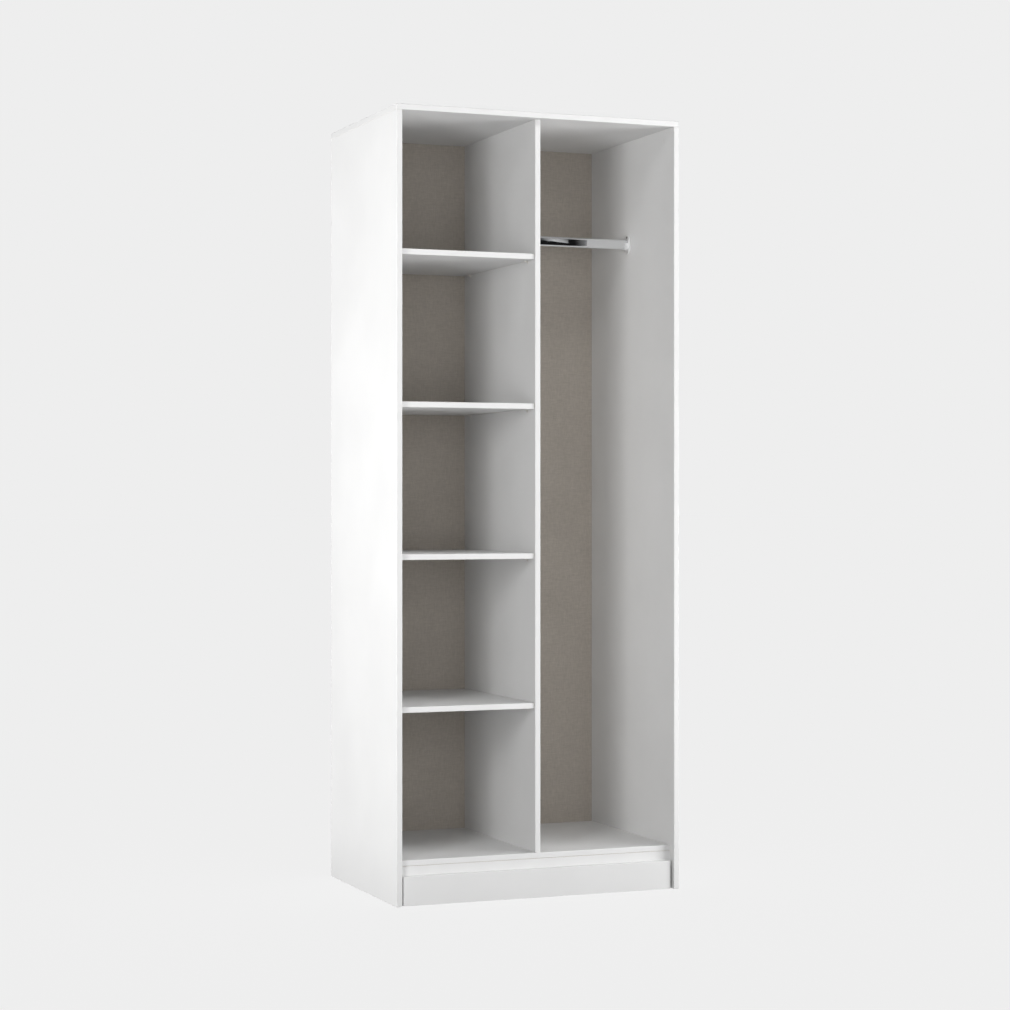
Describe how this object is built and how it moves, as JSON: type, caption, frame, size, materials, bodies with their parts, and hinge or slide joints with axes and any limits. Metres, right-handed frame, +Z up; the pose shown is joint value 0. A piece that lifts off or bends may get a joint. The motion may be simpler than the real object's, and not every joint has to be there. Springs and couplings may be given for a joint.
{
  "type": "wardrobe carcass",
  "caption": "Tall open-fronted wardrobe carcass with loose shelves on one side, a hanging rail on the other, a thin back and a set-forward plinth board.",
  "frame": {"origin": "on the floor, under the middle of the footprint", "axes": "+X to the right seen from the open front, +Y to the back, +Z up; the open front faces -Y"},
  "size_m": [0.85, 0.585, 2.185],
  "materials": {
    "white_board": "white melamine-faced chipboard with a white edge band, satin, very faint texture",
    "linen_back": "thin hardboard with a grey-brown linen print on the inside",
    "chrome": "bright chrome plate",
    "nickel": "nickel-plated steel",
    "zinc": "bare zinc casting and zinc-plated steel",
    "beech": "plain beech, fluted",
    "white_plastic": "moulded white plastic"
  },
  "bodies": {
    "carcass": {"back_panel_left": "linen_back", "back_panel_right": "linen_back", "base_rail_back": "white_board", "base_rail_front": "white_board", "bolt_base_left_back": "zinc", "bolt_base_left_front": "zinc", "bolt_base_right_back": "zinc", "bolt_base_right_front": "zinc", "bolt_top_left_back": "zinc", "bolt_top_left_front": "zinc", "bolt_top_right_back": "zinc", "bolt_top_right_front": "zinc", "bottom_panel": "white_board", "cam_base_left_back": "zinc", "cam_base_left_front": "zinc", "cam_base_right_back": "zinc", "cam_base_right_front": "zinc", "cam_top_left_back": "zinc", "cam_top_left_front": "zinc", "cam_top_right_back": "zinc", "cam_top_right_front": "zinc", "dowel_base_back": "beech", "dowel_base_front": "beech", "dowel_top_back": "beech", "dowel_top_front": "beech", "glide_left_back": "white_plastic", "glide_left_front": "white_plastic", "glide_right_back": "white_plastic", "glide_right_front": "white_plastic", "left_side": "white_board", "partition": "white_board", "plinth_board": "white_board", "rail_screw_left": "nickel", "rail_screw_right": "nickel", "rail_socket_left": "chrome", "rail_socket_right": "chrome", "right_side": "white_board", "shelf_1_pin_left_back": "nickel", "shelf_1_pin_left_front": "nickel", "shelf_1_pin_right_back": "nickel", "shelf_1_pin_right_front": "nickel", "shelf_2_pin_left_back": "nickel", "shelf_2_pin_left_front": "nickel", "shelf_2_pin_right_back": "nickel", "shelf_2_pin_right_front": "nickel", "shelf_3_pin_left_back": "nickel", "shelf_3_pin_left_front": "nickel", "shelf_3_pin_right_back": "nickel", "shelf_3_pin_right_front": "nickel", "shelf_4_pin_left_back": "nickel", "shelf_4_pin_left_front": "nickel", "shelf_4_pin_right_back": "nickel", "shelf_4_pin_right_front": "nickel", "top_panel": "white_board"},
    "shelf_1": {"shelf_1": "white_board"},
    "shelf_2": {"shelf_2": "white_board"},
    "shelf_3": {"shelf_3": "white_board"},
    "shelf_4": {"shelf_4": "white_board"},
    "rail": {"hanging_rail": "chrome"}
  },
  "joints": [
    {"name": "shelf_1_slide", "type": "slide", "parent": "carcass", "child": "shelf_1", "axis": [0, -1, 0], "range_m": [0, 0.58]},
    {"name": "shelf_2_slide", "type": "slide", "parent": "carcass", "child": "shelf_2", "axis": [0, -1, 0], "range_m": [0, 0.58]},
    {"name": "shelf_3_slide", "type": "slide", "parent": "carcass", "child": "shelf_3", "axis": [0, -1, 0], "range_m": [0, 0.58]},
    {"name": "shelf_4_slide", "type": "slide", "parent": "carcass", "child": "shelf_4", "axis": [0, -1, 0], "range_m": [0, 0.58]},
    {"name": "rail_lift", "type": "slide", "parent": "carcass", "child": "rail", "axis": [0, 0, 1], "range_m": [0, 0.06]}
  ]
}
